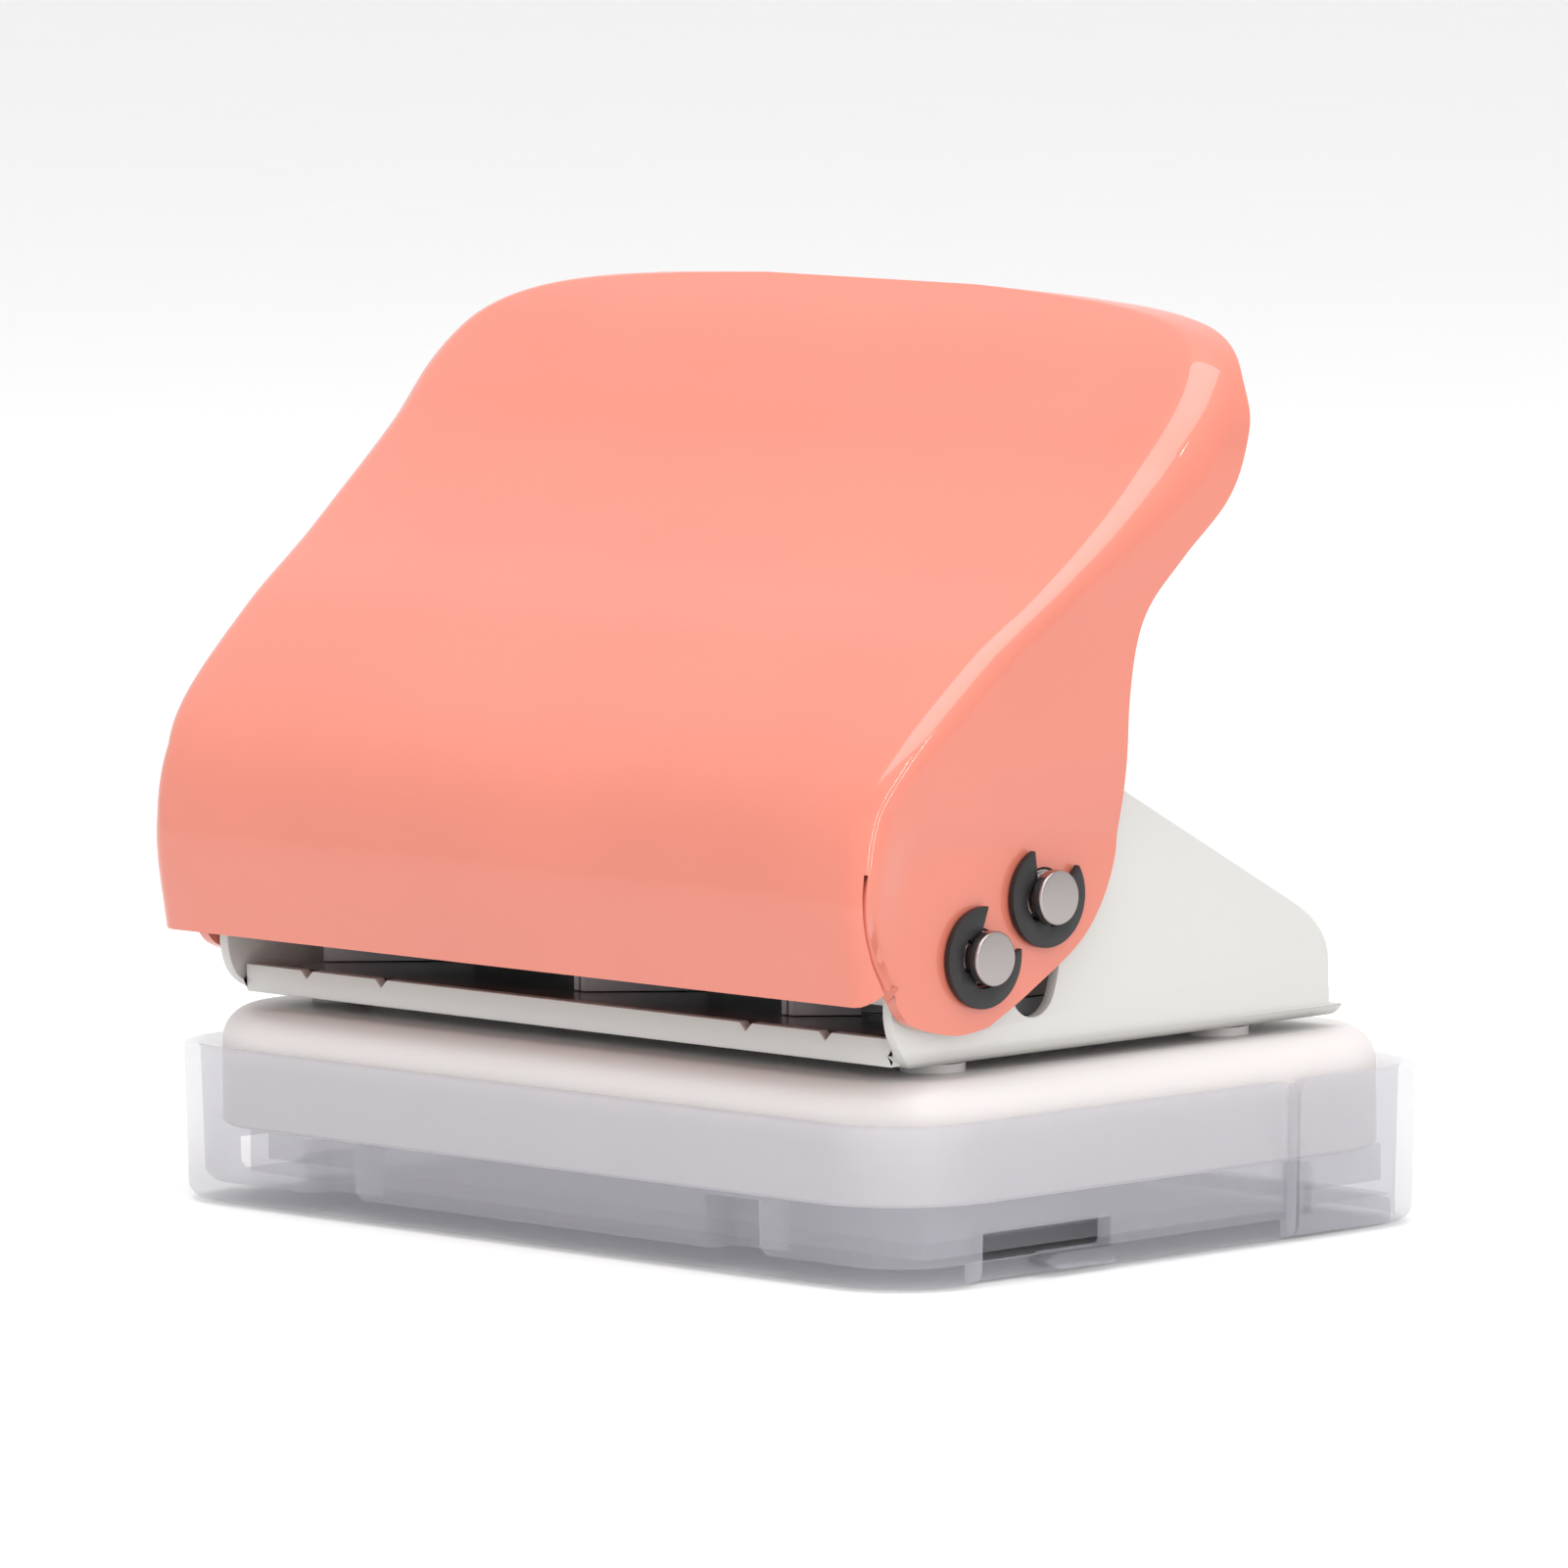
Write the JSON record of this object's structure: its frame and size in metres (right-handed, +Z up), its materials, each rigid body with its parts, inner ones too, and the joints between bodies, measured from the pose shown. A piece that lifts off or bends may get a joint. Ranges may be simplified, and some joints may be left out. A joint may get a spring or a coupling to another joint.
{
  "type": "corner rounder",
  "caption": "Desktop lever-action corner rounder: sheet-steel handle on cross pins, three corner-cutting stations behind a front slot, and a clear chip tray with a rear drawer.",
  "frame": {"origin": "middle of the flat underside of the chip tray", "axes": "+X to the right seen from the paper side, +Y away from the paper side, +Z up"},
  "size_m": [0.106, 0.0747, 0.0865],
  "materials": {
    "coral_paint": "smooth gloss coral enamel on stamped steel",
    "white_paint": "satin white enamel on stamped steel",
    "white_plastic": "warm white moulded plastic, fine satin",
    "frosted_plastic": "frosted translucent moulded plastic",
    "grey_plastic": "light grey moulded plastic",
    "steel": "nickel-plated steel",
    "tool_steel": "ground and hardened tool steel",
    "black_steel": "black phosphated spring steel",
    "nylon": "natural nylon"
  },
  "bodies": {
    "base": {"chip_tray": "frosted_plastic", "base_cover": "white_plastic", "frame": "white_paint", "die_plate": "steel", "cutter_guide": "steel", "pivot_pin": "steel", "fence_large": "grey_plastic", "fence_medium": "grey_plastic", "fence_small": "grey_plastic", "pivot_clip_left": "black_steel", "pivot_washer_left": "nylon", "return_spring_left": "steel", "spring_post_left": "steel", "pivot_clip_right": "black_steel", "pivot_washer_right": "nylon", "return_spring_right": "steel", "spring_post_right": "steel", "base_screw_1": "black_steel", "guide_screw_1": "black_steel", "base_screw_2": "black_steel", "guide_screw_2": "black_steel", "base_screw_3": "black_steel", "guide_screw_3": "black_steel", "base_screw_4": "black_steel", "guide_screw_4": "black_steel"},
    "handle": {"handle_shell": "coral_paint", "drive_pin_left": "steel", "drive_pin_right": "steel", "drive_clip_left": "black_steel", "drive_clip_right": "black_steel"},
    "carrier": {"cutter_carrier": "steel", "cutter_large": "tool_steel", "cutter_medium": "tool_steel", "cutter_small": "tool_steel", "cutter_screw_large": "black_steel", "cutter_screw_medium": "black_steel", "cutter_screw_small": "black_steel"},
    "drawer": {"chip_drawer": "frosted_plastic"}
  },
  "joints": [
    {"name": "handle_hinge", "type": "hinge", "parent": "base", "child": "handle", "pos_m": [0, -0.02245, 0.02905], "axis": [-1, 0, 0], "range_deg": [0, 50], "stiffness_Nm_per_rad": 0.05, "springref_deg": -91.67},
    {"name": "carrier_slide", "type": "slide", "parent": "base", "child": "carrier", "axis": [0, 0, -1], "range_m": [0, 0.00799], "deforming": ["return_spring_left", "return_spring_right"]},
    {"name": "drawer_slide", "type": "slide", "parent": "base", "child": "drawer", "axis": [0, 1, 0], "range_m": [0, 0.04]}
  ],
  "couplings": [
    {"joint": "carrier_slide", "follows": "handle_hinge", "m_per_rad": 0.009157}
  ]
}
